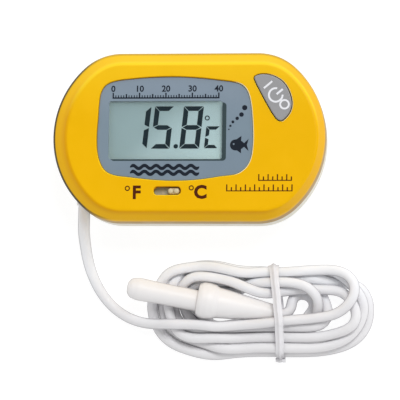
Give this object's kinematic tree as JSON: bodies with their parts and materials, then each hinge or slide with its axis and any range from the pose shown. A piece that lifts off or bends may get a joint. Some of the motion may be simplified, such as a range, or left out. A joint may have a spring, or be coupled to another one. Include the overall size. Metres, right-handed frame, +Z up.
{
  "type": "digital aquarium thermometer",
  "caption": "Small display case with a sloped edge, power button, unit switch and suction cups, wired to a coiled and tied probe for reading water temperature.",
  "frame": {"origin": "middle of the whole object's footprint, on the plane it rests on (the suction cup rims)", "axes": "+Z up out of the display face, +X to the reader's right along the display, +Y towards the display's top edge"},
  "size_m": [0.0702, 0.0678, 0.0204],
  "materials": {
    "yellow_shell": "satin moulded yellow plastic",
    "panel_print": "grey-blue printed face sheet",
    "clear_window": "clear acrylic",
    "display_glass": "pale reflective display",
    "display_foil": "satin foil",
    "dark_rubber": "layered conductive rubber",
    "board": "green solder mask",
    "black_resin": "cured resin",
    "chip_body": "moulded component body",
    "steel": "bright plated steel",
    "brass_leaf": "plated spring leaf",
    "button_grey": "grey moulded cap",
    "knob_beige": "beige moulded knob",
    "pale_shell": "pale translucent moulded plastic",
    "clear_soft": "clear soft vinyl",
    "white_jacket": "soft white vinyl jacket",
    "red_core": "insulated core",
    "probe_white": "smooth off-white plastic",
    "sealant": "potting resin"
  },
  "bodies": {
    "case": {"front_cover": "yellow_shell", "face_panel": "panel_print", "display_window": "clear_window", "lcd_glass": "display_glass", "lcd_reflector": "display_foil", "zebra_strip": "dark_rubber", "circuit_board": "board", "chip_cover": "black_resin", "reference_resistor": "chip_body", "decoupling_capacitor": "chip_body", "power_switch_body": "chip_body", "power_switch_dome": "steel", "unit_switch_body": "chip_body", "rear_cover": "pale_shell", "battery_cell_1": "steel", "battery_cell_2": "steel", "battery_contact_positive": "brass_leaf", "battery_contact_negative": "brass_leaf", "case_screw_1": "steel", "case_screw_2": "steel", "case_screw_3": "steel", "case_screw_4": "steel", "board_screw_1": "steel", "board_screw_2": "steel", "cable_grommet": "white_jacket", "board_lead_a": "red_core", "board_lead_b": "white_jacket"},
    "plunger": {"power_switch_plunger": "knob_beige"},
    "button": {"power_button": "button_grey"},
    "unit_knob": {"unit_switch_knob": "knob_beige"},
    "door": {"battery_door": "pale_shell", "battery_link": "steel"},
    "cup_left": {"suction_cup_left": "clear_soft"},
    "cup_right": {"suction_cup_right": "clear_soft"},
    "probe_lead": {"sensor_cable": "white_jacket", "probe_tube": "probe_white", "probe_boot": "probe_white", "thermistor": "black_resin", "probe_sealant": "sealant", "probe_lead_a": "red_core", "probe_lead_b": "white_jacket", "twist_tie": "white_jacket"}
  },
  "joints": [
    {"name": "power_button_press", "type": "slide", "parent": "case", "child": "button", "axis": [0, 0, -1], "range_m": [0, 0.0004]},
    {"name": "power_switch_press", "type": "slide", "parent": "case", "child": "plunger", "axis": [0, 0, -1], "range_m": [0, 0.0004]},
    {"name": "unit_switch_slide", "type": "slide", "parent": "case", "child": "unit_knob", "axis": [-1, 0, 0], "range_m": [0, 0.0028]},
    {"name": "battery_door_slide", "type": "slide", "parent": "case", "child": "door", "axis": [0, 1, 0], "range_m": [0, 0.014]},
    {"name": "cup_left_swivel", "type": "hinge", "parent": "case", "child": "cup_left", "pos_m": [-0.02491, 0.01507, 0.0063], "axis": [0, 0, 1], "continuous": true},
    {"name": "cup_right_swivel", "type": "hinge", "parent": "case", "child": "cup_right", "pos_m": [0.01469, 0.01507, 0.0063], "axis": [0, 0, 1], "continuous": true},
    {"name": "lead_flex", "type": "hinge", "parent": "case", "child": "probe_lead", "pos_m": [-0.02918, -0.00193, 0.0087], "axis": [0, 0, 1], "range_deg": [-25, 6]}
  ],
  "couplings": [
    {"joint": "power_switch_press", "follows": "power_button_press", "ratio": 1}
  ]
}
